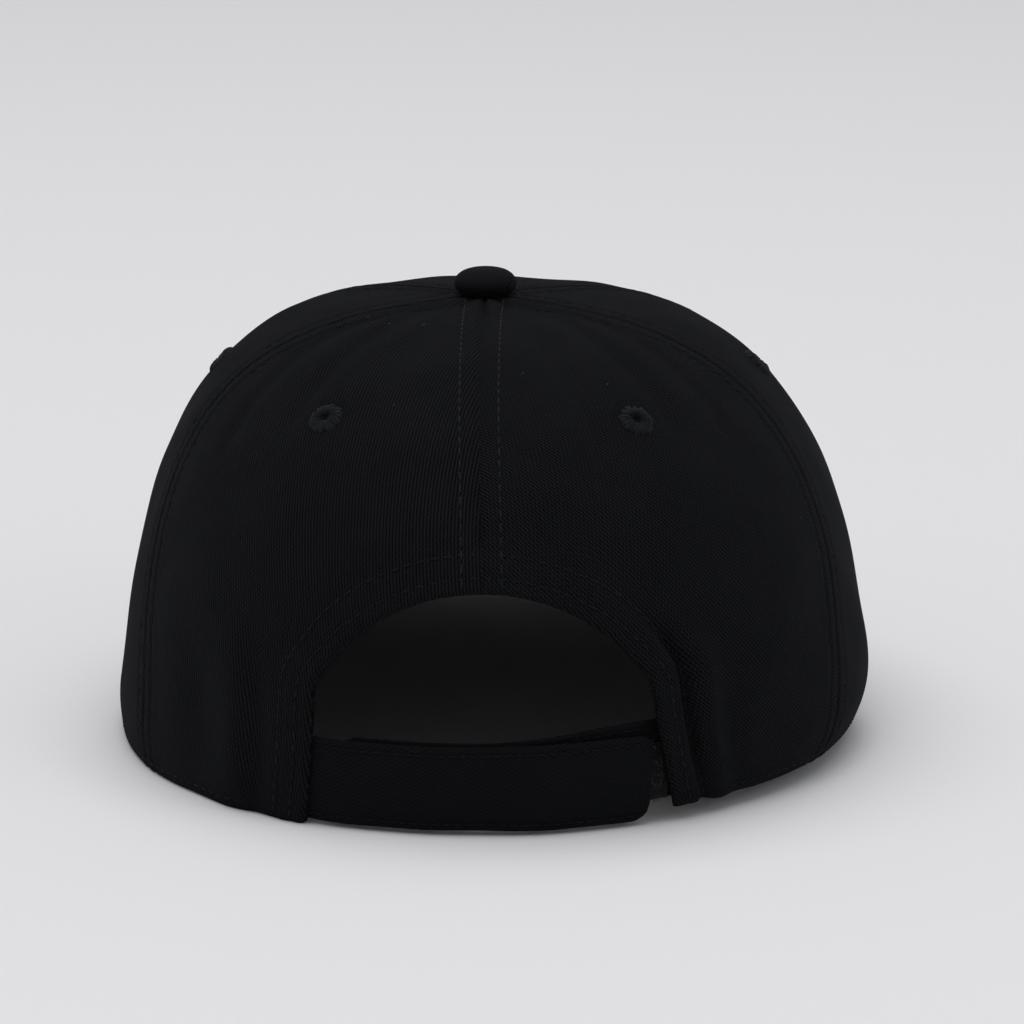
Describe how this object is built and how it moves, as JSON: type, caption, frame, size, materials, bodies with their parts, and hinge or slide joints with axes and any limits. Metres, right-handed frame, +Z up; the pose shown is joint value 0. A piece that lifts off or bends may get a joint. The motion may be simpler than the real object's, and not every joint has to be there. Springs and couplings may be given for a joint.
{
  "type": "bump cap",
  "caption": "Six-panel cloth cap with a curved brim, a hook-and-loop rear strap and a removable padded hard shell inside.",
  "frame": {"origin": "middle of the head opening, in the plane of the rear and side rim that the cap stands on", "axes": "+Z up through the button, -Y forwards along the brim, +X towards the wearer's left"},
  "size_m": [0.1894, 0.2825, 0.1179],
  "materials": {
    "crown_cloth": "matt black cotton twill",
    "eyelet_thread": "satin-stitched black thread",
    "buckram": "stiff open-weave stiffener",
    "seam_tape": "black twill tape",
    "sweatband_cloth": "matt black cotton",
    "sweatband_foam": "soft open-cell foam",
    "button_metal": "plain pressed metal",
    "brim_cloth": "matt black cotton twill",
    "brim_board": "moulded polyethylene",
    "strap_cloth": "matt black cotton twill",
    "hook_tape": "moulded hook tape",
    "loop_tape": "brushed loop pile",
    "shell_plastic": "fine-grained moulded ABS",
    "pad_foam": "closed-cell foam"
  },
  "bodies": {
    "cap": {"arch_facing": "seam_tape", "brim_board": "brim_board", "brim_lower_cloth": "brim_cloth", "brim_upper_cloth": "brim_cloth", "buckram_left": "buckram", "buckram_right": "buckram", "button_core": "button_metal", "button_cover": "crown_cloth", "button_prong": "button_metal", "eyelet_back_left": "eyelet_thread", "eyelet_back_right": "eyelet_thread", "eyelet_front_left": "eyelet_thread", "eyelet_front_right": "eyelet_thread", "eyelet_side_left": "eyelet_thread", "eyelet_side_right": "eyelet_thread", "inner_strap_anchor": "strap_cloth", "loop_coin_left": "loop_tape", "loop_coin_right": "loop_tape", "outer_strap_anchor": "strap_cloth", "panel_back_left": "crown_cloth", "panel_back_right": "crown_cloth", "panel_front_left": "crown_cloth", "panel_front_right": "crown_cloth", "panel_side_left": "crown_cloth", "panel_side_right": "crown_cloth", "seam_tape_back_left": "seam_tape", "seam_tape_back_right": "seam_tape", "seam_tape_centre_back": "seam_tape", "seam_tape_centre_front": "seam_tape", "seam_tape_front_left": "seam_tape", "seam_tape_front_right": "seam_tape", "sweatband_cover": "sweatband_cloth", "sweatband_foam": "sweatband_foam"},
    "outer_strap": {"outer_strap": "strap_cloth", "hook_patch": "hook_tape"},
    "inner_strap": {"inner_strap": "strap_cloth", "loop_patch": "loop_tape"},
    "insert": {"bump_shell": "shell_plastic", "crown_pad": "pad_foam", "front_pad": "pad_foam", "side_pad_left": "pad_foam", "side_pad_right": "pad_foam", "rear_pad_left": "pad_foam", "rear_pad_right": "pad_foam", "hook_coin_left": "hook_tape", "hook_coin_right": "hook_tape"}
  },
  "joints": [
    {"name": "outer_strap_peel", "type": "hinge", "parent": "cap", "child": "outer_strap", "pos_m": [0.0404, 0.09747, 0.0116], "axis": [0, 0, -1], "range_deg": [0, 150]},
    {"name": "inner_strap_swing", "type": "hinge", "parent": "cap", "child": "inner_strap", "pos_m": [-0.0404, 0.08977, 0.0116], "axis": [0, 0, -1], "range_deg": [0, 25]},
    {"name": "insert_slide", "type": "slide", "parent": "cap", "child": "insert", "axis": [0, 0, -1], "range_m": [0, 0.125]}
  ]
}
